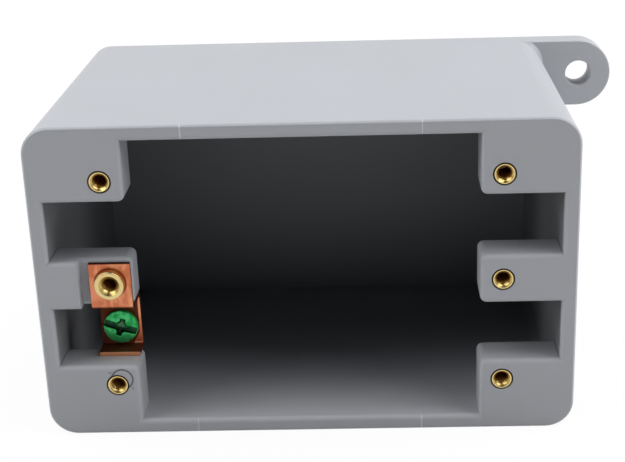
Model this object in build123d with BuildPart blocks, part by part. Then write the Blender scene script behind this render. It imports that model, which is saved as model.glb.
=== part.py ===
"""Deep single-gang device box for surface wiring, moulded in one piece, with its ground strap.

Millimetres. X runs along the box, Y runs back from the rim to the wall and Z is up.
The origin is the middle of the back face, on the wall, so the open rim faces -Y.
"""

import os
from math import radians, sqrt, tan

from build123d import *

# Screw pattern of the device and of its cover plate
device_spacing = 83.34
cover_spacing = 46.6

# Moulded shell
depth = 76.2
wall = 3.2
back_wall = 3.3
end_room = 12.43  # from a screw axis out to the inner face of the end wall
side_room = 8.6  # from a cover screw's axis to the inner face of the top or bottom wall
outer_corner = 6.0
inner_corner = 2.5
draft = 0.4  # degrees, on the outer walls, so that the box leaves its mould
rim_edge = 1.0  # rounding of the mouth's front edges
rim_bevel = 0.4  # around the outside of the rim
back_edge = 0.5  # bevel around the back face

# Screw bosses, undercut behind
boss_depth = 9.0
boss_nose = 4.8  # from a screw axis to the boss's inner end, along X
boss_side = 4.5  # from a cover screw's axis to the free side of its boss, along Z
middle_boss_height = 10.8
boss_corner = 1.4
screw_hole = 4.2  # clearance behind each insert

# Wall lugs, one at each end of a diagonal
lug_reach = 8.95  # from the end of the box to the middle of the lug's round end
lug_offset = 9.2  # from the end of the box to the lug's hole
lug_radius = 8.2
lug_thickness = 6.6
lug_hole = 6.4
lug_edge = 0.2  # bevel around a lug's face
lug_root = 0.8  # bevel where a lug leaves the end wall
bevel_slope = 45.0  # degrees

# Threaded brass inserts
insert_diameter = 4.9
insert_bore = 2.8
insert_land = 0.35  # flat ring around the bevelled mouth
insert_edge = 0.15
insert_shoulder = 1.1  # plastic left behind an insert
insert_clearance = 0.02
front_land = 1.2  # plain length at the face of an insert
knurl_flutes = 12
knurl_depth = 0.3

# Ground strap
strap_width = 8.9
strap_thickness = 0.9
strap_bend = 0.5  # inner radius of its bends
strap_clearance = 0.05
strap_top = 0.95  # from the top of the boss down to the strap's upper end
recess_depth = 2.8  # how far the boss is set back for the strap
recess_side = 6.4  # from the bush's axis to the step that stops the strap turning
leg_gap = 0.75  # from the back of the bosses to the strap's upright leg
lip_length = 4.55  # foot of the strap, in front of the leg
collar_height = 1.2  # pulled rim of the tapped hole
collar_wall = 0.8
ground_drop = 1.2  # from the middle of the leg down to the tapped hole

# Ground bush, collared to clamp the strap
bush_collar = 6.4
bush_land = 1.2

# Ground screw
head_diameter = 7.6
head_height = 1.5
head_side = 1.0  # straight part of the head's rim
shank_diameter = 4.1
shank_length = 8.0
shank_point = 0.6
thread_clearance = 0.05
seat_clearance = 0.05
slot_width = 1.6
slot_depth = 1.0
cross_reach = 4.2  # length of the cross recess over two arms
cross_width = 1.2
cross_body = 2.6  # across the flats of the recess's square middle
cross_depth = 1.8
cross_taper = 12.0
slot_turn = -18.0  # degrees, as the screw was left

# Sizes that follow
inner_length = device_spacing + 2 * end_room
inner_height = cover_spacing + 2 * side_room
length = inner_length + 2 * wall
height = inner_height + 2 * wall
screw_x = device_spacing / 2
boss_gap = device_spacing - 2 * boss_nose
corner_gap = cover_spacing - 2 * boss_side
insert_radius = insert_diameter / 2
insert_length = boss_depth - insert_shoulder
pocket_radius = insert_radius + insert_clearance
flute_side = knurl_depth * sqrt(2)
rim = Plane.XZ.offset(depth)

lug_x = length / 2 + lug_offset
lug_end_x = length / 2 + lug_reach
lug_front = Plane.XZ.offset(lug_thickness)
lug_side = lug_thickness - lug_edge
lug_taper = (depth - lug_side) * tan(radians(draft))
lug_top = height / 2 - lug_taper
lug_z = lug_top - lug_radius

plate_back = recess_depth - depth
plate_front = plate_back - strap_thickness
leg_front = boss_depth + leg_gap - depth
leg_back = leg_front + strap_thickness
shelf_top = -middle_boss_height / 2 - strap_clearance
shelf_bottom = shelf_top - strap_thickness
foot_bottom = strap_clearance - corner_gap / 2
foot_top = foot_bottom + strap_thickness
foot_front = leg_front - lip_length
ground_z = (shelf_bottom + foot_top) / 2 - ground_drop
shank_radius = shank_diameter / 2
head_seat = leg_front - seat_clearance

os.makedirs("parts", exist_ok=True)


def save(builder, name):
    """Label a finished piece and write it out."""
    builder.part.label = name
    export_step(builder.part, f"parts/{name}.step")


# Box body: tapered shell, lugs, then the mouth between the bosses and the wider room behind them
with BuildPart() as box_body:
    with BuildSketch(rim):
        RectangleRounded(length, height, outer_corner)
    extrude(amount=-depth, taper=draft)
    with BuildSketch(Plane.XZ.offset(lug_side)) as lugs:
        for side in (1, -1):
            with Locations((side * lug_end_x, side * lug_z)):
                Circle(lug_radius)
            with Locations((side * lug_end_x / 2, side * lug_z)):
                Rectangle(lug_end_x, 2 * lug_radius)
    extrude(amount=-lug_side, taper=draft)
    extrude(lugs.sketch, amount=lug_edge, taper=bevel_slope)
    with BuildSketch(lug_front):
        with Locations((lug_end_x / 2, lug_z), (-lug_end_x / 2, -lug_z)):
            Rectangle(lug_end_x, 2 * (lug_radius - lug_edge))
        bevel_outset = 2 * (lug_root - lug_taper)
        RectangleRounded(
            length + bevel_outset, height + bevel_outset, outer_corner + bevel_outset / 2, mode=Mode.INTERSECT
        )
    extrude(amount=2 * lug_root, taper=bevel_slope)
    back_outline = box_body.faces().sort_by(Axis.Y)[-1].outer_wire()
    chamfer(back_outline.edges(), back_edge)

    with BuildSketch(rim) as mouth:
        RectangleRounded(inner_length, inner_height, inner_corner)
        with GridLocations((length + boss_gap) / 2, (height + corner_gap) / 2, 2, 2):
            Rectangle((length - boss_gap) / 2, (height - corner_gap) / 2, mode=Mode.SUBTRACT)
        with GridLocations((length + boss_gap) / 2, 0, 2, 1):
            Rectangle((length - boss_gap) / 2, middle_boss_height, mode=Mode.SUBTRACT)
        free_corners = [
            corner
            for corner in mouth.vertices()
            if abs(abs(corner.X) - boss_gap / 2) < rim_edge and abs(corner.Y) < inner_height / 2 - rim_edge
        ]
        fillet(free_corners, boss_corner)
    extrude(amount=-boss_depth, mode=Mode.SUBTRACT)
    with BuildSketch(rim.offset(-boss_depth)):
        RectangleRounded(inner_length, inner_height, inner_corner)
    extrude(amount=boss_depth + back_wall - depth, mode=Mode.SUBTRACT)
    rim_face = box_body.faces().sort_by(Axis.Y)[0]
    fillet(rim_face.inner_wires()[0].edges(), rim_edge)
    rim_face = box_body.faces().sort_by(Axis.Y)[0]
    chamfer(rim_face.outer_wire().edges(), rim_bevel)

    # The left middle boss is set back for the strap
    recess_length = screw_x + recess_side
    with BuildSketch(rim):
        with Locations((-recess_length / 2, 0)):
            Rectangle(recess_length, (middle_boss_height + corner_gap) / 2)
    extrude(amount=-recess_depth, mode=Mode.SUBTRACT)
    recess_floor = box_body.faces().filter_by(Axis.Y).sort_by_distance((-screw_x, plate_back, 0))[0]
    open_edges = [edge for edge in recess_floor.edges() if edge.center().X > rim_edge - recess_length]
    fillet(open_edges, rim_edge)

    # Stepped holes: a pocket for each insert and clearance for its screw behind
    with Locations(rim):
        with GridLocations(device_spacing, cover_spacing, 2, 2):
            CounterBoreHole(screw_hole / 2, pocket_radius, insert_length, boss_depth)
        with Locations((screw_x, 0)):
            CounterBoreHole(screw_hole / 2, pocket_radius, insert_length, boss_depth)
    with Locations(rim.offset(-recess_depth)):
        with Locations((-screw_x, 0)):
            CounterBoreHole(
                screw_hole / 2, pocket_radius, insert_length - recess_depth, boss_depth - recess_depth
            )
    with Locations(lug_front):
        with Locations((lug_x, lug_z), (-lug_x, -lug_z)):
            Hole(lug_hole / 2, lug_thickness)
save(box_body, "box_body")


# Plain inserts: turned bushes with a bevelled mouth, fluted behind the front land
insert_places = {
    "cover_insert_top_left": (-screw_x, cover_spacing / 2),
    "cover_insert_top_right": (screw_x, cover_spacing / 2),
    "cover_insert_bottom_left": (-screw_x, -cover_spacing / 2),
    "cover_insert_bottom_right": (screw_x, -cover_spacing / 2),
    "device_insert": (screw_x, 0),
}
mouth_radius = insert_radius - insert_land - insert_edge
mouth_bevel = mouth_radius - insert_bore / 2
for insert_name, (insert_x, insert_z) in insert_places.items():
    with BuildPart() as insert:
        with BuildSketch(Plane(origin=(insert_x, -depth, insert_z))):
            with BuildLine():
                Polyline(
                    (mouth_radius, 0),
                    (insert_radius - insert_edge, 0),
                    (insert_radius, insert_edge),
                    (insert_radius, insert_length),
                    (insert_bore / 2, insert_length),
                    (insert_bore / 2, mouth_bevel),
                    close=True,
                )
            make_face()
        revolve(axis=Axis((insert_x, -depth, insert_z), (0, 1, 0)))
        with BuildSketch(rim.offset(-front_land).move(Pos(insert_x, insert_z))):
            with PolarLocations(insert_radius, knurl_flutes):
                Rectangle(flute_side, flute_side, rotation=45)
        extrude(amount=front_land - insert_length, mode=Mode.SUBTRACT)
    save(insert, insert_name)

# Ground bush: its collar clamps the strap and stands level with the rim
collar_radius = bush_collar / 2
collar_length = recess_depth - strap_thickness
bush_mouth = collar_radius - bush_land
with BuildPart() as ground_bush:
    with BuildSketch(Plane(origin=(-screw_x, -depth, 0))):
        with BuildLine():
            Polyline(
                (bush_mouth, 0),
                (collar_radius - insert_edge, 0),
                (collar_radius, insert_edge),
                (collar_radius, collar_length),
                (insert_radius, collar_length),
                (insert_radius, insert_length),
                (insert_bore / 2, insert_length),
                (insert_bore / 2, bush_mouth - insert_bore / 2),
                close=True,
            )
        make_face()
    revolve(axis=Axis((-screw_x, -depth, 0), (0, 1, 0)))
    with BuildSketch(rim.offset(-recess_depth - front_land).move(Pos(-screw_x, 0))):
        with PolarLocations(insert_radius, knurl_flutes):
            Rectangle(flute_side, flute_side, rotation=45)
    extrude(amount=recess_depth + front_land - insert_length, mode=Mode.SUBTRACT)
save(ground_bush, "ground_bush")

# Ground strap: one copper strip, folded under its boss, down behind and forward onto the lower boss
outer_bend = strap_bend + strap_thickness
with BuildPart() as ground_strap:
    with BuildSketch(Plane.YZ.offset(-screw_x)):
        with BuildLine() as fold:
            FilletPolyline(
                (plate_back, middle_boss_height / 2 - strap_top),
                (plate_back, shelf_top),
                (leg_back, shelf_top),
                (leg_back, foot_bottom),
                (foot_front, foot_bottom),
                radius=[strap_bend, outer_bend, outer_bend],
            )
            offset(amount=strap_thickness, side=Side.RIGHT)
        make_face()
    extrude(amount=strap_width / 2, both=True)
    with BuildSketch(Plane.XZ.offset(-leg_back)):
        with Locations((-screw_x, ground_z)):
            Circle(shank_radius + thread_clearance + collar_wall)
    extrude(amount=-collar_height)
    with Locations(Plane.XZ.offset(-plate_front)):
        with Locations((-screw_x, 0)):
            Hole(pocket_radius, strap_thickness)
    with Locations(Plane.XZ.offset(-leg_front)):
        with Locations((-screw_x, ground_z)):
            Hole(shank_radius + thread_clearance, strap_thickness + collar_height)
save(ground_strap, "ground_strap")

# Ground screw: pan head with a slot and a cross recess
head_face = Plane.XZ.offset(head_height - head_seat).move(Pos(-screw_x, ground_z))
with BuildPart() as ground_screw:
    with BuildSketch(Plane(origin=(-screw_x, head_seat, ground_z))):
        with BuildLine():
            dome = TangentArc((0, -head_height), (head_diameter / 2, -head_side), tangent=(1, 0))
            Polyline(
                dome @ 1,
                (head_diameter / 2, 0),
                (shank_radius, 0),
                (shank_radius, shank_length - shank_point),
                (shank_radius - shank_point, shank_length),
                (0, shank_length),
                dome @ 0,
            )
        make_face()
    revolve(axis=Axis((-screw_x, head_seat, ground_z), (0, 1, 0)))
    with BuildSketch(head_face):
        Rectangle(2 * head_diameter, slot_width, rotation=slot_turn)
    extrude(amount=-slot_depth, mode=Mode.SUBTRACT)
    with BuildSketch(head_face):
        Rectangle(cross_reach, cross_width, rotation=slot_turn)
        Rectangle(cross_width, cross_reach, rotation=slot_turn)
        Rectangle(cross_body, cross_body, rotation=slot_turn + 45)
    extrude(amount=-cross_depth, taper=cross_taper, mode=Mode.SUBTRACT)
save(ground_screw, "ground_screw")
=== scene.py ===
"""Looks of the device box: its finishes, fine threads and moulding marks, with light and camera.

Metres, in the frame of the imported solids: X along the box, Y back to the wall, Z up.
"""

from math import cos, pi, radians, sin, tau

import bmesh
import bpy
from mathutils import Matrix, Quaternion, Vector


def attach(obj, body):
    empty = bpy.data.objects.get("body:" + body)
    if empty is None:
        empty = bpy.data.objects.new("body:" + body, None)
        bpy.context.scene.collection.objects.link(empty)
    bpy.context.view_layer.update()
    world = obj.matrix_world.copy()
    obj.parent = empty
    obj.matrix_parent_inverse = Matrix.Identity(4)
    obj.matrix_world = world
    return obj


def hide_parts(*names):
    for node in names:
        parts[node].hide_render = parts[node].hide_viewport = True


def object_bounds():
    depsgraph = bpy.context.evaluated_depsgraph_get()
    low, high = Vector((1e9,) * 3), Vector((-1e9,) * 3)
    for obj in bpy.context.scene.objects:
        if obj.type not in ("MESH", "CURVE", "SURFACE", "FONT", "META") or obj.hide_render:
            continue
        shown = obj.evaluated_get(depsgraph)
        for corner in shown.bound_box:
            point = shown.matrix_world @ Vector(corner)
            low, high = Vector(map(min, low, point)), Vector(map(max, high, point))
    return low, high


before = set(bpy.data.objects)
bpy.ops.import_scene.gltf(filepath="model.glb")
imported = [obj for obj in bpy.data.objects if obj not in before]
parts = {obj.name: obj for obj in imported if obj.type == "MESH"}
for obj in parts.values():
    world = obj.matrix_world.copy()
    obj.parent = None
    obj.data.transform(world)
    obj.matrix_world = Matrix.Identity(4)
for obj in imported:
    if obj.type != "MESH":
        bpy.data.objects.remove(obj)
cad_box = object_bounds()

MM = 0.001
PHOTO_WIDTH = 625
PHOTO_HEIGHT = 462

# Camera, fitted to the rim, the inserts and the outline of the box in the photograph
CAMERA_PLACE = Vector((14.94, -340.87, 111.41)) * MM
CAMERA_ELEVATION = radians(20.569)  # downward
CAMERA_AZIMUTH = radians(-1.604)
CAMERA_ROLL = radians(1.679)
FOCAL_PIXELS = 1362.0
OPTICAL_CENTRE = (339.4, 228.86)  # pixels
SENSOR_WIDTH = 36.0

# Light: two wide soft panels overhead, whose light the white table throws back onto the rim
PANEL_SPREAD = radians(64)
PANEL_TILT = radians(5)  # to the back
PANELS = {  # lean to the side, and light on a surface that faces it
    "left_panel": (radians(37), 2.95),
    "right_panel": (radians(-37), 3.45),
}
SIDE_LAMPS = {  # place in metres, power in watts, and size
    "left_fill": (Vector((-0.70, -0.18, 0.22)), 1.8, 0.24),
    "right_fill": (Vector((0.70, -0.20, 0.14)), 1.3, 0.24),
    "lug_fill": (Vector((0.20, -0.062, 0.06)), 0.085, 0.03),
}
WALL_LEVEL = 0.70  # of the room around
CEILING_LEVEL = 0.15 * WALL_LEVEL
CEILING_FADE = (0.35, 0.70)  # height of a direction where the walls end, and where the ceiling begins
TABLE_SIZE = 6.0
TABLE_WHITE = 0.61
TABLE_GLOW = 0.93
TABLE_SHADE = 0.05

# Sizes of the turned and threaded parts, in millimetres
SEGMENTS = 96
PITCH = 0.794  # 32 threads to the inch
THREAD_ROWS = 10  # to a pitch
THREAD_RUN_OUT = 0.4
FLANK_SLOPE = 1.35
FLANK_START = 0.15
INSERT_RADIUS = 2.45
INSERT_LENGTH = 7.9
BORE_RADIUS = 1.36
THREAD_DEPTH = 0.32
FLUTES = 12
FLUTE_DEPTH = 0.3
FLUTE_START = 0.05
FRONT_LAND = 1.2
EDGE_ROUND = 0.32
MOUTH_RADIUS = 1.93
MOUTH_BAND = 0.04
SINK_HOLLOW = 1.25  # 1 is a straight bevel
COLLAR_RADIUS = 3.2
COLLAR_LENGTH = 1.9
COLLAR_CHAMFER = 0.1
BUSH_MOUTH = 2.3
BUSH_FLUTES_FROM = 4.0
HEAD_RADIUS = 3.8
HEAD_HEIGHT = 1.5
HEAD_CHAMFER = 0.15
DOME_STEPS = 24
DOME_RISE = 0.35
DOME_POWER = 2.6  # 2 is a plain dome, and more is flatter on top
NECK_RADIUS = 1.85  # short relief under the head
NECK_LENGTH = 0.25
SHANK_THREAD_FROM = 0.35
CREST_RADIUS = 2.02
ROOT_RADIUS = CREST_RADIUS - 0.40
SHANK_LENGTH = 8.0
SHANK_POINT = 0.6
POINT_RADIUS = 1.45
SLOT_WIDTH = 1.6
SLOT_DEPTH = 1.0
SLOT_TURN = radians(-18)
CROSS_REACH = 4.2
CROSS_WIDTH = 1.2
CROSS_BODY = 2.9
BODY_TURN = SLOT_TURN + pi / 4
CROSS_DEPTH = 1.2
CROSS_NARROWING = 0.27  # at the bottom, on each side
BODY_NARROWING = 0.67
CUTTER_RISE = 1.0  # above the head
VOXEL = 0.09
SOFTENING = 0.5
SOFTENING_ROUNDS = 3
SMOOTH_ANGLE = radians(38)
TINY = 1e-6

# Places on the box, in millimetres; a pair is where a finish is full and where it has faded out
RIM_Y = -76.2
RIM_OUTER = 35.1  # half the box's height, at the rim
RIM_INNER = 31.9
RIM_BEVEL = 0.4
RIM_ROUND = 1.0
RIM_FACE = (RIM_Y + 0.30, RIM_Y + 0.45)
SCREW_X = 41.67
COVER_Z = 23.3
SCREW_SEAT = (-SCREW_X, -66.5, -13.3)
ROOM_X = (54.3, 54.8)
ROOM_Z = (32.1, 32.6)
ROOM_BACK = (-2.8, -2.2)
ROOM_SHADE = (-20, -56)
END_WALL_X = (54.0, 53.7)
END_WALL_FRONT = (RIM_Y + 2.0, RIM_Y + 0.8)
END_WALL_SHADE = (-60, -30)
STAMP_CENTRE = (-SCREW_X + 1.05, -COVER_Z + 1.37)  # ring left by a first try at the insert
STAMP_RADIUS = 2.3
STAMP_LINE = (0.10, 0.30)
SMUDGES = (  # beside the ring: place from its centre, half width and half height
    (-2.5, 1.6, 0.75, 0.40),
    (2.2, -2.2, 0.45, 0.60),
)
SEAM_HEIGHT = 0.02
SEAM_TAPER = 0.3  # of the height, at both ends
SEAM_LAND = 0.3
SEAM_BITE = 0.06  # into the rim
SEAM_STEPS = 6
SEAM_STEP = radians(12)  # round the edge of the mouth
SEAMS = {  # where the parts of the mould met on the rim: place along X, upper or lower band, width
    "seam_top_left": (-24.3, 1, 0.34),
    "seam_top_right": (24.9, 1, 0.22),
    "seam_bottom_left": (-24.7, -1, 0.22),
    "seam_bottom_right": (24.3, -1, 0.30),
}

# Places on the metal parts, in millimetres: on the inserts, the bush and the screw from their own
# origins, and on the strap in the frame
# painted shade around the front edge; the bush's lies outside its collar, so none shows
INSERT_EDGE_SHADE = (2.18, 2.06)
BUSH_EDGE_SHADE = (COLLAR_RADIUS + 0.2, COLLAR_RADIUS + 0.1)
BORE_SHADE = (3.4, 1.2)
SIDE_REFLECTION = (0.75, 0.30)
SIDE_REFLECTION_RADIUS = (2.3, 2.5)
TOOL_PITCH = 0.11
STRAP_RIGHT = -SCREW_X + 4.45
STRIP_EDGE = (STRAP_RIGHT - 0.60, STRAP_RIGHT - 0.42)
STRIP_WIDENING = 1.3
STRAP_TOP_Z = 4.45
CUT_END = (STRAP_TOP_Z - 0.05, STRAP_TOP_Z - 0.25)
LEG_SHADE = (-66.8, -67.2)
FOOT_TOP_Z = -17.8
FOOT_SHADE = (FOOT_TOP_Z, FOOT_TOP_Z + 0.3)
FOOT_STRIP = (FOOT_TOP_Z, FOOT_TOP_Z + 3.2)
LIP_Y = -71.0
LIP_BEHIND = (LIP_Y + 0.25, LIP_Y + 0.05)
LIP_FRONT = (LIP_Y + 0.05, LIP_Y + 0.2)
LIP_TOP = (FOOT_TOP_Z + 0.5, FOOT_TOP_Z + 0.8)
BUSH_SHADE_RING = (COLLAR_RADIUS + 0.1, COLLAR_RADIUS + 0.5)
RECESS_DEPTH = (0.32, 0.10)
RECESS_RADIUS = (HEAD_RADIUS - 0.16, HEAD_RADIUS - 0.08)
RECESS_MIDDLE = (0.30, 1.30)
RECESS_LOW_SIDE = (-SLOT_WIDTH * 0.35, -SLOT_WIDTH * 0.05)

# Colours of the finishes, of the painted shade, highlights and reflections on them, and how strongly
# these and the marks show
PVC_DARK = (0.316, 0.326, 0.350, 1)
PVC_LIGHT = (0.340, 0.351, 0.376, 1)
# painted shade inside the box, in the room and on its end walls
PVC_PAINTED_SHADE = (0.182, 0.186, 0.196, 1)
SOIL = (0.06, 0.065, 0.07, 1)
STAMP_SOIL = 0.84
SMUDGE_SOIL = 0.40
FLASH_DARK = (0.38, 0.39, 0.41, 1)
FLASH_LIGHT = (0.52, 0.53, 0.55, 1)
BRASS_LIGHT = (0.76, 0.60, 0.29, 1)
BRASS_DARK = (0.62, 0.46, 0.19, 1)
BRASS_MOUTH_SHADE = (0.46, 0.32, 0.10, 1)
MOUTH_SHADE_TINT = 0.7
BRASS_COPPER_REFLECTION = (0.92, 0.62, 0.24, 1)
REFLECTION_TINT = 0.85
BRASS_EDGE_SHADE = (0.030, 0.020, 0.010, 1)
BRASS_BORE_SHADE = (0.30, 0.12, 0.045, 1)
BORE_SHADE_TINT = 0.9
COPPER_LIGHT = (0.64, 0.235, 0.125, 1)
COPPER_DARK = (0.50, 0.150, 0.070, 1)
COPPER_STREAK = (0.70, 0.290, 0.155, 1)
COPPER_SHADE = (0.060, 0.014, 0.006, 1)
LEG_TINT = 0.92
FOOT_TINT = 0.8
RING_TINT = 0.7
COPPER_LIP_HIGHLIGHT = (0.95, 0.45, 0.24, 1)
LIP_TINT = 0.6
GREEN_LIGHT = (0.060, 0.500, 0.155, 1)
GREEN_DARK = (0.012, 0.310, 0.072, 1)
RECESS_OUTER_SHADE = (0.006, 0.050, 0.020, 1)
RECESS_MIDDLE_LIT = (0.070, 0.210, 0.100, 1)
RECESS_LOW_SHADE = (0.001, 0.016, 0.006, 1)
RECESS_TINT = 0.95


# Node helpers

def new_material(name):
    """An empty material with its tree and its shader."""
    material = bpy.data.materials.new(name)
    material.use_nodes = True
    tree = material.node_tree
    return material, tree, tree.nodes["Principled BSDF"]


def feed(tree, socket, value):
    """Link a socket, or set it where the value is a plain number or vector."""
    if isinstance(value, bpy.types.NodeSocket):
        tree.links.new(value, socket)
    else:
        socket.default_value = value


def maths(tree, operation, *values, clamp=False):
    """One Math node."""
    node = tree.nodes.new("ShaderNodeMath")
    node.operation = operation
    node.use_clamp = clamp
    for socket, value in zip(node.inputs, values):
        feed(tree, socket, value)
    return node.outputs["Value"]


def times(tree, product, *factors):
    """A value multiplied by one or more others."""
    for factor in factors:
        product = maths(tree, "MULTIPLY", product, factor)
    return product


def distance(tree, a, b):
    """Length of a vector from its two parts."""
    squares = maths(tree, "ADD", maths(tree, "POWER", a, 2.0), maths(tree, "POWER", b, 2.0))
    return maths(tree, "SQRT", squares)


def fade(tree, value, start, end):
    """1 at start, falling smoothly to 0 at end."""
    node = tree.nodes.new("ShaderNodeMapRange")
    node.interpolation_type = "SMOOTHSTEP"
    feed(tree, node.inputs["Value"], value)
    node.inputs["From Min"].default_value = start
    node.inputs["From Max"].default_value = end
    node.inputs["To Min"].default_value = 1.0
    node.inputs["To Max"].default_value = 0.0
    return node.outputs["Result"]


def fade_mm(tree, value, start, end):
    """A fade between two places in millimetres."""
    return fade(tree, value, start * MM, end * MM)


def span(tree, value, low, high):
    """Map 0 to 1 onto low to high."""
    node = tree.nodes.new("ShaderNodeMapRange")
    feed(tree, node.inputs["Value"], value)
    node.inputs["To Min"].default_value = low
    node.inputs["To Max"].default_value = high
    return node.outputs["Result"]


def noise(tree, place, scale, detail, stretch=(1, 1, 1)):
    """Noise in the object's own space, in features per metre."""
    mapping = tree.nodes.new("ShaderNodeMapping")
    feed(tree, mapping.inputs["Vector"], place)
    mapping.inputs["Scale"].default_value = stretch
    node = tree.nodes.new("ShaderNodeTexNoise")
    tree.links.new(mapping.outputs["Vector"], node.inputs["Vector"])
    node.inputs["Scale"].default_value = scale
    node.inputs["Detail"].default_value = detail
    return node.outputs["Fac"]


def blend(tree, factor, first, second):
    """Mix two colours."""
    node = tree.nodes.new("ShaderNodeMix")
    node.data_type = "RGBA"
    feed(tree, node.inputs["Factor"], factor)
    feed(tree, node.inputs["A"], first)
    feed(tree, node.inputs["B"], second)
    return node.outputs["Result"]


def bump(tree, height, strength, depth, under=None):
    """A bump of so many millimetres, over another where one is given."""
    node = tree.nodes.new("ShaderNodeBump")
    node.inputs["Strength"].default_value = strength
    node.inputs["Distance"].default_value = depth * MM
    feed(tree, node.inputs["Height"], height)
    if under is not None:
        feed(tree, node.inputs["Normal"], under)
    return node.outputs["Normal"]


def soft_edges(tree, radius):
    """A normal that rounds the edges of a solid by so many millimetres."""
    rounding = tree.nodes.new("ShaderNodeBevel")
    rounding.samples = 6
    rounding.inputs["Radius"].default_value = radius * MM
    return rounding.outputs["Normal"]


def object_place(tree, kind="Object"):
    """Object coordinates, whole and apart."""
    coordinates = tree.nodes.new("ShaderNodeTexCoord").outputs[kind]
    apart = tree.nodes.new("ShaderNodeSeparateXYZ")
    tree.links.new(coordinates, apart.inputs["Vector"])
    return coordinates, apart.outputs["X"], apart.outputs["Y"], apart.outputs["Z"]


# Finishes

def grey_pvc():
    """Moulded grey PVC with a slight sheen and faint clouding, duller inside, with painted shade in the
    room inside and on the end walls, and a scored ring.
    """
    material, tree, shader = new_material("grey_pvc")
    place, x, y, z = object_place(tree)
    clouds = noise(tree, place, scale=45.0, detail=4.0)
    grain = noise(tree, place, scale=2600.0, detail=2.0)
    colour = blend(tree, clouds, PVC_DARK, PVC_LIGHT)

    # Painted shade in the room inside, darkening from behind the bosses to the back wall
    along = maths(tree, "ABSOLUTE", x)
    between_ends = fade_mm(tree, along, *ROOM_X)
    between_sides = fade_mm(tree, maths(tree, "ABSOLUTE", z), *ROOM_Z)
    before_back = fade_mm(tree, y, *ROOM_BACK)
    inside = times(tree, between_ends, between_sides, before_back)
    inward = times(tree, inside, fade_mm(tree, y, *ROOM_SHADE))
    colour = blend(tree, inward, colour, PVC_PAINTED_SHADE)

    # Painted shade on the end walls between the bosses, near the front too
    on_end = fade_mm(tree, along, *END_WALL_X)
    behind_rim = fade_mm(tree, y, *END_WALL_FRONT)
    before_middle = fade_mm(tree, y, *END_WALL_SHADE)
    painted_end_shade = times(tree, on_end, inside, behind_rim, before_middle)
    colour = blend(tree, painted_end_shade, colour, PVC_PAINTED_SHADE)

    # The ring scored beside the lower left insert, and the smudges by it
    on_rim = fade_mm(tree, y, *RIM_FACE)
    stamp_x = maths(tree, "SUBTRACT", x, STAMP_CENTRE[0] * MM)
    stamp_z = maths(tree, "SUBTRACT", z, STAMP_CENTRE[1] * MM)
    off_ring = maths(tree, "SUBTRACT", distance(tree, stamp_x, stamp_z), STAMP_RADIUS * MM)
    ring_line = fade_mm(tree, maths(tree, "ABSOLUTE", off_ring), *STAMP_LINE)
    scored = times(tree, ring_line, on_rim)
    soiled = times(tree, scored, STAMP_SOIL)
    for across, up, half_width, half_height in SMUDGES:
        beside = maths(tree, "DIVIDE", maths(tree, "SUBTRACT", stamp_x, across * MM), half_width * MM)
        above = maths(tree, "DIVIDE", maths(tree, "SUBTRACT", stamp_z, up * MM), half_height * MM)
        smudge = times(tree, fade(tree, distance(tree, beside, above), 0.2, 1.0), on_rim, SMUDGE_SOIL)
        soiled = maths(tree, "MAXIMUM", soiled, smudge)
    colour = blend(tree, soiled, colour, SOIL)

    tree.links.new(colour, shader.inputs["Base Color"])
    roughness = maths(tree, "ADD", span(tree, clouds, 0.38, 0.46), times(tree, inward, 0.2))
    tree.links.new(roughness, shader.inputs["Roughness"])
    shader.inputs["Specular IOR Level"].default_value = 0.30
    normal = bump(tree, grain, strength=0.05, depth=0.02, under=soft_edges(tree, 0.30))
    unscored = maths(tree, "SUBTRACT", 1.0, scored)
    normal = bump(tree, unscored, strength=0.5, depth=0.08, under=normal)
    tree.links.new(normal, shader.inputs["Normal"])
    return material


def pale_flash():
    """The thin flash on the mould's seams: the same plastic, paler and glossier."""
    material, tree, shader = new_material("pale_flash")
    place = object_place(tree)[0]
    patches = noise(tree, place, scale=1800.0, detail=3.0)
    tree.links.new(blend(tree, patches, FLASH_DARK, FLASH_LIGHT), shader.inputs["Base Color"])
    tree.links.new(span(tree, patches, 0.25, 0.40), shader.inputs["Roughness"])
    return material


def turned_brass(name, mouth, edge):
    """Bright turned brass with fine tool rings, with painted shade in the mouth, down the bore and
    around the edge, and a painted reflection of the copper on the side.
    """
    material, tree, shader = new_material(name)
    place, x, y, z = object_place(tree)
    across = distance(tree, x, z)
    tarnish = noise(tree, place, scale=700.0, detail=4.0)
    colour = blend(tree, tarnish, BRASS_LIGHT, BRASS_DARK)
    # painted shade in the countersink of the mouth
    mouth_shade = fade_mm(tree, across, mouth - 0.12, mouth - 0.02)
    colour = blend(tree, times(tree, mouth_shade, MOUTH_SHADE_TINT), colour, BRASS_MOUTH_SHADE)
    # a painted reflection of the copper strap, on the side behind the front
    behind_front = fade_mm(tree, y, *SIDE_REFLECTION)
    off_side = fade_mm(tree, across, *SIDE_REFLECTION_RADIUS)
    copper_reflection = maths(tree, "SUBTRACT", behind_front, off_side, clamp=True)
    colour = blend(tree, times(tree, copper_reflection, REFLECTION_TINT), colour, BRASS_COPPER_REFLECTION)
    # painted shade around the edge, where it meets the plastic
    colour = blend(tree, fade_mm(tree, across, *edge), colour, BRASS_EDGE_SHADE)
    # painted shade down the bore
    bore_shade = fade_mm(tree, y, *BORE_SHADE)
    colour = blend(tree, times(tree, bore_shade, BORE_SHADE_TINT), colour, BRASS_BORE_SHADE)
    tree.links.new(colour, shader.inputs["Base Color"])
    shader.inputs["Metallic"].default_value = 1.0
    tree.links.new(span(tree, tarnish, 0.16, 0.32), shader.inputs["Roughness"])
    tool = maths(tree, "SINE", times(tree, across, tau / (TOOL_PITCH * MM)))
    normal = bump(tree, tool, strength=0.08, depth=0.005)
    grain = noise(tree, place, scale=4000.0, detail=2.0)
    normal = bump(tree, grain, strength=0.08, depth=0.01, under=normal)
    tree.links.new(normal, shader.inputs["Normal"])
    return material


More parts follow.
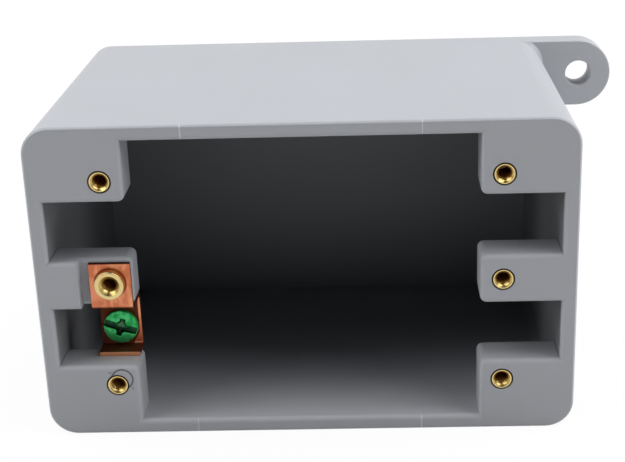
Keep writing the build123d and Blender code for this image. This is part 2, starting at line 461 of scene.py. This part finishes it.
def rolled_copper():
    """Copper strip with rolling streaks, with painted shade down its upright leg, on its foot, on its
    cut end and in a ring around the bush, and a painted highlight on the front edge of the foot.
    """
    material, tree, shader = new_material("rolled_copper")
    place, x, y, z = object_place(tree)
    streaks = noise(tree, place, scale=560.0, detail=4.0, stretch=(1.0, 0.4, 0.4))
    tarnish = noise(tree, place, scale=230.0, detail=5.0)
    colour = blend(tree, fade(tree, tarnish, 0.62, 0.38), COPPER_LIGHT, COPPER_DARK)
    colour = blend(tree, fade(tree, streaks, 0.66, 0.45), colour, COPPER_STREAK)

    # Painted shade on the leg behind the screw, apart from a strip along its right edge that widens
    # towards the foot, and on the foot behind its front edge
    behind = fade_mm(tree, y, *LEG_SHADE)
    widening = times(tree, fade_mm(tree, z, *FOOT_STRIP), STRIP_WIDENING * MM)
    off_strip = fade_mm(tree, maths(tree, "ADD", x, widening), *STRIP_EDGE)
    painted_shade = times(tree, behind, off_strip, LEG_TINT)
    on_foot = fade_mm(tree, z, *FOOT_SHADE)
    off_lip = fade_mm(tree, y, *LIP_BEHIND)
    painted_shade = maths(tree, "MAXIMUM", painted_shade, times(tree, on_foot, FOOT_TINT, off_lip))

    # Painted shade also on the cut end at the top, and a painted contact shadow in a ring around the
    # bush
    painted_shade = maths(tree, "MAXIMUM", painted_shade, fade_mm(tree, z, *CUT_END))
    off_bush = distance(tree, maths(tree, "ADD", x, SCREW_X * MM), z)
    bush_contact_shadow = times(tree, fade_mm(tree, off_bush, *BUSH_SHADE_RING), RING_TINT)
    painted_shade = maths(tree, "MAXIMUM", painted_shade, bush_contact_shadow)
    colour = blend(tree, painted_shade, colour, COPPER_SHADE)

    # A painted highlight on the front edge of the foot
    lip_highlight = times(tree, fade_mm(tree, y, *LIP_FRONT), fade_mm(tree, z, *LIP_TOP))
    colour = blend(tree, times(tree, lip_highlight, LIP_TINT), colour, COPPER_LIP_HIGHLIGHT)
    tree.links.new(colour, shader.inputs["Base Color"])
    shader.inputs["Metallic"].default_value = 1.0
    roughness = maths(tree, "ADD", span(tree, tarnish, 0.26, 0.42), times(tree, painted_shade, 0.3))
    tree.links.new(roughness, shader.inputs["Roughness"])
    normal = bump(tree, streaks, strength=0.2, depth=0.02, under=soft_edges(tree, 0.14))
    tree.links.new(normal, shader.inputs["Normal"])
    return material


def green_plating():
    """Green dyed plating: satin metal, a little uneven, with painted shade in the slot and cross."""
    material, tree, shader = new_material("green_plating")
    place, x, y, z = object_place(tree)
    patches = fade(tree, noise(tree, place, scale=700.0, detail=4.0), 0.64, 0.40)
    colour = blend(tree, patches, GREEN_LIGHT, GREEN_DARK)

    # The recess is what lies well under the dome of the head; it gets painted shade, darkest on its
    # lower side and lighter in the middle of the cross, where light reaches its bottom
    across = distance(tree, x, z)
    outward = maths(tree, "POWER", maths(tree, "DIVIDE", across, HEAD_RADIUS * MM), DOME_POWER)
    dome = maths(tree, "MULTIPLY_ADD", outward, DOME_RISE * MM, -HEAD_HEIGHT * MM)
    under_dome = fade_mm(tree, maths(tree, "SUBTRACT", y, dome), *RECESS_DEPTH)
    recess_shade = times(tree, under_dome, fade_mm(tree, across, *RECESS_RADIUS))
    lit_middle = fade_mm(tree, across, *RECESS_MIDDLE)
    recess_shade_colour = blend(tree, lit_middle, RECESS_OUTER_SHADE, RECESS_MIDDLE_LIT)
    along_z = times(tree, z, cos(SLOT_TURN))
    across_slot = maths(tree, "SUBTRACT", along_z, times(tree, x, sin(SLOT_TURN)))
    low_side_shade = fade_mm(tree, across_slot, *RECESS_LOW_SIDE)
    recess_shade_colour = blend(tree, low_side_shade, recess_shade_colour, RECESS_LOW_SHADE)
    colour = blend(tree, times(tree, recess_shade, RECESS_TINT), colour, recess_shade_colour)
    tree.links.new(colour, shader.inputs["Base Color"])
    shader.inputs["Metallic"].default_value = 0.55
    shader.inputs["Specular IOR Level"].default_value = 0.20
    tree.links.new(span(tree, patches, 0.28, 0.46), shader.inputs["Roughness"])
    texture = noise(tree, place, scale=1500.0, detail=3.0)
    tree.links.new(bump(tree, texture, strength=0.25, depth=0.06), shader.inputs["Normal"])
    return material


# Turned and threaded pieces, in millimetres, with the axis along Y

def ring(radius, y):
    """One level ring of points."""
    turns = [tau * i / SEGMENTS for i in range(SEGMENTS)]
    return [(radius * cos(turn), y, radius * sin(turn)) for turn in turns]


def fluted_ring(radius, y):
    """One ring with V flutes cut into it."""
    half_width = FLUTE_DEPTH / radius
    points = []
    for i in range(SEGMENTS):
        angle = tau * i / SEGMENTS
        off_flute = abs((angle * FLUTES / tau + 0.5) % 1 - 0.5) * tau / FLUTES
        r = radius - FLUTE_DEPTH * max(0.0, 1 - off_flute / half_width)
        points.append((r * cos(angle), y, r * sin(angle)))
    return points


def thread_rings(crest, root, start, end):
    """Rings down a right-handed thread that fades in and out at its ends."""
    rings = []
    rows = round((end - start) / (PITCH / THREAD_ROWS))
    for row in range(rows + 1):
        y = start + (end - start) * row / rows
        from_end = min(y - start, end - y)
        inward = max(0.0, min(1.0, from_end / THREAD_RUN_OUT))
        points = []
        for i in range(SEGMENTS):
            turn = i / SEGMENTS
            wave = abs((y / PITCH + turn) % 1 - 0.5) * 2
            flank = min(1.0, max(0.0, wave * FLANK_SLOPE - FLANK_START))
            r = crest + (root - crest) * inward * flank
            points.append((r * cos(tau * turn), y, r * sin(tau * turn)))
        rings.append(points)
    return rings


def rounded_edge(radius, y, size, steps=4):
    """Rings around a rounded outer edge, from the face at y to the side."""
    return [
        ring(radius - size * (1 - sin(pi / 2 * k / steps)), y + size * (1 - cos(pi / 2 * k / steps)))
        for k in range(steps + 1)
    ]


def countersink(mouth, bore, depth, steps=5):
    """Rings up a slightly hollow bevel, from the bore to the mouth."""
    rings = []
    for k in range(1, steps + 1):
        up = k / steps
        rings.append(ring(bore + (mouth - bore) * up ** SINK_HOLLOW, depth * (1 - up)))
    return rings


def join_rows(work, first, second):
    """A band of faces between two closed rows of points."""
    count = len(first)
    for i in range(count):
        j = (i + 1) % count
        work.faces.new((first[i], first[j], second[j], second[i]))


def finish_mesh(name, work):
    """A mesh of a shape in the making, with its faces turned outward."""
    bmesh.ops.recalc_face_normals(work, faces=work.faces)
    mesh = bpy.data.meshes.new(name)
    work.to_mesh(mesh)
    work.free()
    return mesh


def skin(name, rings, closed):
    """A mesh over a stack of rings; open stacks get flat ends."""
    work = bmesh.new()
    levels = [[work.verts.new(Vector(point) * MM) for point in points] for points in rings]
    for lower, upper in zip(levels, levels[1:]):
        join_rows(work, lower, upper)
    if closed:
        join_rows(work, levels[-1], levels[0])
    else:
        work.faces.new(levels[0])
        work.faces.new(levels[-1])
    return finish_mesh(name, work)


def seam_mesh(name, band, width):
    """A thin ridge of flash across the rim, over its outer bevel and into the mouth's rounded edge."""
    line = [  # place in Z and Y, and the way out of the surface
        (RIM_OUTER - 0.02, RIM_Y + RIM_BEVEL - 0.02, 0.7, -0.7),
        (RIM_OUTER - RIM_BEVEL, RIM_Y, 0.38, -0.92),
        (RIM_OUTER - RIM_BEVEL - SEAM_LAND, RIM_Y, 0, -1),
        (RIM_INNER + RIM_ROUND + SEAM_LAND, RIM_Y, 0, -1),
    ]
    for k in range(SEAM_STEPS):
        turn = SEAM_STEP * k
        line.append((
            RIM_INNER + RIM_ROUND - RIM_ROUND * sin(turn),
            RIM_Y + RIM_ROUND - RIM_ROUND * cos(turn),
            -sin(turn),
            -cos(turn),
        ))
    work = bmesh.new()
    rows = []
    for k, (z, y, out_z, out_y) in enumerate(line):
        height = SEAM_HEIGHT * (SEAM_TAPER if k in (0, len(line) - 1) else 1.0)
        section = [  # share of the width, and height
            (-0.5, -SEAM_BITE),
            (-0.5, 0.0),
            (-0.3, 0.6 * height),
            (0.0, height),
            (0.3, 0.6 * height),
            (0.5, 0.0),
            (0.5, -SEAM_BITE),
        ]
        row = []
        for across, rise in section:
            place = Vector((across * width, y + out_y * rise, band * (z + out_z * rise)))
            row.append(work.verts.new(place * MM))
        rows.append(row)
    for first, second in zip(rows, rows[1:]):
        join_rows(work, first, second)
    work.faces.new(rows[0])
    work.faces.new(rows[-1])
    return finish_mesh(name, work)


def fluted_body(start):
    """The two rings of the fluted part of an insert."""
    return [fluted_ring(INSERT_RADIUS, start + FLUTE_START), fluted_ring(INSERT_RADIUS, INSERT_LENGTH)]


def insert_mesh(name):
    """A plain insert: rounded front edge, hollow countersink, thread and flutes."""
    sink = MOUTH_RADIUS - BORE_RADIUS
    rings = [ring(MOUTH_RADIUS + MOUTH_BAND, 0)]
    rings += rounded_edge(INSERT_RADIUS, 0, EDGE_ROUND)
    rings.append(ring(INSERT_RADIUS, FRONT_LAND))
    rings += fluted_body(FRONT_LAND)
    rings += reversed(thread_rings(BORE_RADIUS, BORE_RADIUS + THREAD_DEPTH, sink, INSERT_LENGTH))
    rings += countersink(MOUTH_RADIUS, BORE_RADIUS, sink)
    return skin(name, rings, closed=True)


def bush_mesh(name):
    """The ground bush: a broad collar in front of a fluted, threaded body."""
    sink = BUSH_MOUTH - BORE_RADIUS
    rings = [ring(BUSH_MOUTH + MOUTH_BAND, 0)]
    rings += rounded_edge(COLLAR_RADIUS, 0, EDGE_ROUND)
    rings.append(ring(COLLAR_RADIUS, COLLAR_LENGTH - COLLAR_CHAMFER))
    rings.append(ring(COLLAR_RADIUS - COLLAR_CHAMFER, COLLAR_LENGTH))
    rings.append(ring(INSERT_RADIUS, COLLAR_LENGTH))
    rings.append(ring(INSERT_RADIUS, BUSH_FLUTES_FROM))
    rings += fluted_body(BUSH_FLUTES_FROM)
    rings += reversed(thread_rings(BORE_RADIUS, BORE_RADIUS + THREAD_DEPTH, sink, INSERT_LENGTH))
    rings += countersink(BUSH_MOUTH, BORE_RADIUS, sink)
    return skin(name, rings, closed=True)


def add_object(name, data):
    """A new object in the scene."""
    item = bpy.data.objects.new(name, data)
    bpy.context.scene.collection.objects.link(item)
    return item


def recess_cutter(name, width, height, depth, narrowing, turn=SLOT_TURN):
    """A block that narrows downward, to cut the slot and the cross into the head."""
    work = bmesh.new()
    bmesh.ops.create_cube(work, size=1.0)
    for vert in work.verts:
        at_bottom = vert.co.y > 0
        trim = narrowing if at_bottom else 0.0
        x = (width / 2 - trim) * (1 if vert.co.x > 0 else -1)
        z = (height / 2 - trim) * (1 if vert.co.z > 0 else -1)
        y = depth - HEAD_HEIGHT if at_bottom else -HEAD_HEIGHT
        vert.co = (x, y, z)
    level = TINY - HEAD_HEIGHT
    top = [face for face in work.faces if all(vert.co.y < level for vert in face.verts)]
    raised = bmesh.ops.extrude_face_region(work, geom=top)["geom"]
    raised_points = [item for item in raised if isinstance(item, bmesh.types.BMVert)]
    bmesh.ops.translate(work, vec=(0, -CUTTER_RISE, 0), verts=raised_points)
    bmesh.ops.delete(work, geom=top, context="FACES")
    bmesh.ops.rotate(work, verts=work.verts, matrix=Matrix.Rotation(-turn, 3, "Y"))
    return add_object(name, finish_mesh(name, work))


def screw_mesh(name):
    """The ground screw: a domed head with softened slot and cross, on a threaded shank."""
    rings = []
    for k in range(1, DOME_STEPS + 1):
        out = k / DOME_STEPS
        rings.append(ring(HEAD_RADIUS * out, DOME_RISE * out ** DOME_POWER - HEAD_HEIGHT))
    rings.append(ring(HEAD_RADIUS, -HEAD_CHAMFER))
    rings.append(ring(HEAD_RADIUS - HEAD_CHAMFER, 0))
    rings.append(ring(NECK_RADIUS, 0))
    rings.append(ring(NECK_RADIUS, NECK_LENGTH))
    rings += thread_rings(CREST_RADIUS, ROOT_RADIUS, SHANK_THREAD_FROM, SHANK_LENGTH - SHANK_POINT)
    rings.append(ring(POINT_RADIUS, SHANK_LENGTH))
    blank_mesh = skin("screw_blank", rings, closed=False)
    blank_mesh.transform(Matrix.Scale(1 / MM, 4))
    blank = add_object("screw_blank", blank_mesh)
    cutters = [
        recess_cutter("slot_cutter", 3 * HEAD_RADIUS, SLOT_WIDTH, SLOT_DEPTH, 0.0),
        recess_cutter("cross_cutter_a", CROSS_REACH, CROSS_WIDTH, CROSS_DEPTH, CROSS_NARROWING),
        recess_cutter("cross_cutter_b", CROSS_WIDTH, CROSS_REACH, CROSS_DEPTH, CROSS_NARROWING),
        recess_cutter("body_cutter", CROSS_BODY, CROSS_BODY, CROSS_DEPTH, BODY_NARROWING, BODY_TURN),
    ]
    for cutter in cutters:
        cut = blank.modifiers.new(cutter.name, "BOOLEAN")
        cut.operation = "DIFFERENCE"
        cut.solver = "EXACT"
        cut.object = cutter
    remesh = blank.modifiers.new("even", "REMESH")
    remesh.mode = "VOXEL"
    remesh.voxel_size = VOXEL
    soften = blank.modifiers.new("soften", "SMOOTH")
    soften.factor = SOFTENING
    soften.iterations = SOFTENING_ROUNDS
    evaluated = blank.evaluated_get(bpy.context.evaluated_depsgraph_get())
    mesh = bpy.data.meshes.new_from_object(evaluated)
    mesh.name = name
    mesh.transform(Matrix.Scale(MM, 4))
    for helper in [blank, *cutters]:
        bpy.data.objects.remove(helper)
    return mesh


def place_piece(name, mesh, origin, body, material, node=None):
    """Make a piece of a mesh and stand it at its origin, in place of a solid where one is named."""
    mesh.shade_smooth()
    mesh.set_sharp_from_angle(angle=SMOOTH_ANGLE)
    mesh.materials.clear()
    mesh.materials.append(material)
    piece = add_object(name, mesh)
    piece.location = Vector(origin) * MM
    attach(piece, body)
    if node is not None:
        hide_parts(node)


# Light, table and camera

def add_camera():
    """Stand the camera where the photograph was taken from."""
    data = bpy.data.cameras.new("photo_camera")
    data.sensor_width = SENSOR_WIDTH
    data.lens = FOCAL_PIXELS / PHOTO_WIDTH * SENSOR_WIDTH
    data.shift_x = (PHOTO_WIDTH / 2 - OPTICAL_CENTRE[0]) / PHOTO_WIDTH
    data.shift_y = (OPTICAL_CENTRE[1] - PHOTO_HEIGHT / 2) / PHOTO_WIDTH
    data.clip_start = 0.01
    camera = add_object("photo_camera", data)
    forward = Vector((
        sin(CAMERA_AZIMUTH) * cos(CAMERA_ELEVATION),
        cos(CAMERA_AZIMUTH) * cos(CAMERA_ELEVATION),
        -sin(CAMERA_ELEVATION),
    ))
    camera.location = CAMERA_PLACE
    camera.rotation_mode = "QUATERNION"
    camera.rotation_quaternion = forward.to_track_quat("-Z", "Y") @ Quaternion((0, 0, 1), -CAMERA_ROLL)
    bpy.context.scene.camera = camera


def add_panel(name, lean, light):
    """A wide panel overhead, leaning to one side and a little to the back."""
    data = bpy.data.lights.new(name, "SUN")
    data.energy = light
    data.angle = PANEL_SPREAD
    lamp = add_object(name, data)
    lamp.rotation_euler = (-PANEL_TILT, -lean, 0)


def add_side_lamp(name, place, power, size):
    """A soft square lamp at one side, turned to the box."""
    data = bpy.data.lights.new(name, "AREA")
    data.size = size
    data.energy = power
    lamp = add_object(name, data)
    lamp.location = place
    lamp.visible_camera = False
    lamp.visible_glossy = False
    lamp.rotation_mode = "QUATERNION"
    lamp.rotation_quaternion = (-place).to_track_quat("-Z", "Y")


def seen_directly(tree):
    """1 for camera rays, reflections and refractions, and 0 where light is gathered."""
    path = tree.nodes.new("ShaderNodeLightPath")
    seen = maths(tree, "MAXIMUM", path.outputs["Is Camera Ray"], path.outputs["Is Glossy Ray"])
    return maths(tree, "MAXIMUM", seen, path.outputs["Is Transmission Ray"])


def add_room():
    """A grey room with a dark ceiling, seen past the table and in reflections, that sheds no light."""
    world = bpy.data.worlds.new("studio")
    bpy.context.scene.world = world
    world.use_nodes = True
    tree = world.node_tree
    background = tree.nodes["Background"]
    background.inputs["Color"].default_value = (1, 1, 1, 1)
    height = object_place(tree, "Generated")[3]
    level = span(tree, fade(tree, height, *CEILING_FADE), CEILING_LEVEL, WALL_LEVEL)
    tree.links.new(times(tree, seen_directly(tree), level), background.inputs["Strength"])


def add_table():
    """A plain white table top that keeps a faint shadow of the box."""
    bpy.ops.mesh.primitive_plane_add(size=TABLE_SIZE, location=(0, 0, cad_box[0][2]))
    table = bpy.context.object
    table.name = "table"
    material = bpy.data.materials.new("table_white")
    material.use_nodes = True
    tree = material.node_tree
    white = tree.nodes.new("ShaderNodeBsdfDiffuse")
    white.inputs["Color"].default_value = (TABLE_WHITE, TABLE_WHITE, TABLE_WHITE, 1)
    glow = tree.nodes.new("ShaderNodeEmission")
    glow.inputs["Strength"].default_value = TABLE_GLOW
    shade = tree.nodes.new("ShaderNodeBsdfDiffuse")
    shade.inputs["Color"].default_value = (TABLE_SHADE, TABLE_SHADE, TABLE_SHADE, 1)
    shown = tree.nodes.new("ShaderNodeAddShader")
    tree.links.new(glow.outputs[0], shown.inputs[0])
    tree.links.new(shade.outputs[0], shown.inputs[1])
    mix = tree.nodes.new("ShaderNodeMixShader")
    tree.links.new(seen_directly(tree), mix.inputs[0])
    tree.links.new(white.outputs[0], mix.inputs[1])
    tree.links.new(shown.outputs[0], mix.inputs[2])
    tree.links.new(mix.outputs[0], tree.nodes["Material Output"].inputs["Surface"])
    table.data.materials.append(material)


# Dress the solids that stay
for part_name, finish in (("box_body", grey_pvc()), ("ground_strap", rolled_copper())):
    parts[part_name].data.materials.clear()
    parts[part_name].data.materials.append(finish)

# Add the flash on the rim
flash_pvc = pale_flash()
for seam_name, (seam_x, seam_band, seam_width) in SEAMS.items():
    ridge = seam_mesh(seam_name, seam_band, seam_width)
    place_piece(seam_name, ridge, (seam_x, 0, 0), "box", flash_pvc)

# Replace the turned parts by threaded ones
insert_brass = turned_brass("insert_brass", MOUTH_RADIUS, INSERT_EDGE_SHADE)
bush_brass = turned_brass("bush_brass", BUSH_MOUTH, BUSH_EDGE_SHADE)
for insert_name, insert_x, insert_z in (
    ("cover_insert_top_left", -SCREW_X, COVER_Z),
    ("cover_insert_top_right", SCREW_X, COVER_Z),
    ("cover_insert_bottom_left", -SCREW_X, -COVER_Z),
    ("cover_insert_bottom_right", SCREW_X, -COVER_Z),
    ("device_insert", SCREW_X, 0),
):
    insert_piece = f"threaded_{insert_name}"
    place_piece(
        insert_piece,
        insert_mesh(insert_piece),
        (insert_x, RIM_Y, insert_z),
        "box",
        insert_brass,
        insert_name,
    )
place_piece(
    "threaded_bush",
    bush_mesh("threaded_bush"),
    (-SCREW_X, RIM_Y, 0),
    "box",
    bush_brass,
    "ground_bush",
)
place_piece(
    "green_screw",
    screw_mesh("green_screw"),
    SCREW_SEAT,
    "screw",
    green_plating(),
    "ground_screw",
)

# Set up the photograph
add_camera()
for panel_name, (panel_lean, panel_light) in PANELS.items():
    add_panel(panel_name, panel_lean, panel_light)
for lamp_name, (lamp_place, lamp_power, lamp_size) in SIDE_LAMPS.items():
    add_side_lamp(lamp_name, lamp_place, lamp_power, lamp_size)
add_room()
add_table()
bpy.context.scene.view_settings.view_transform = "Standard"
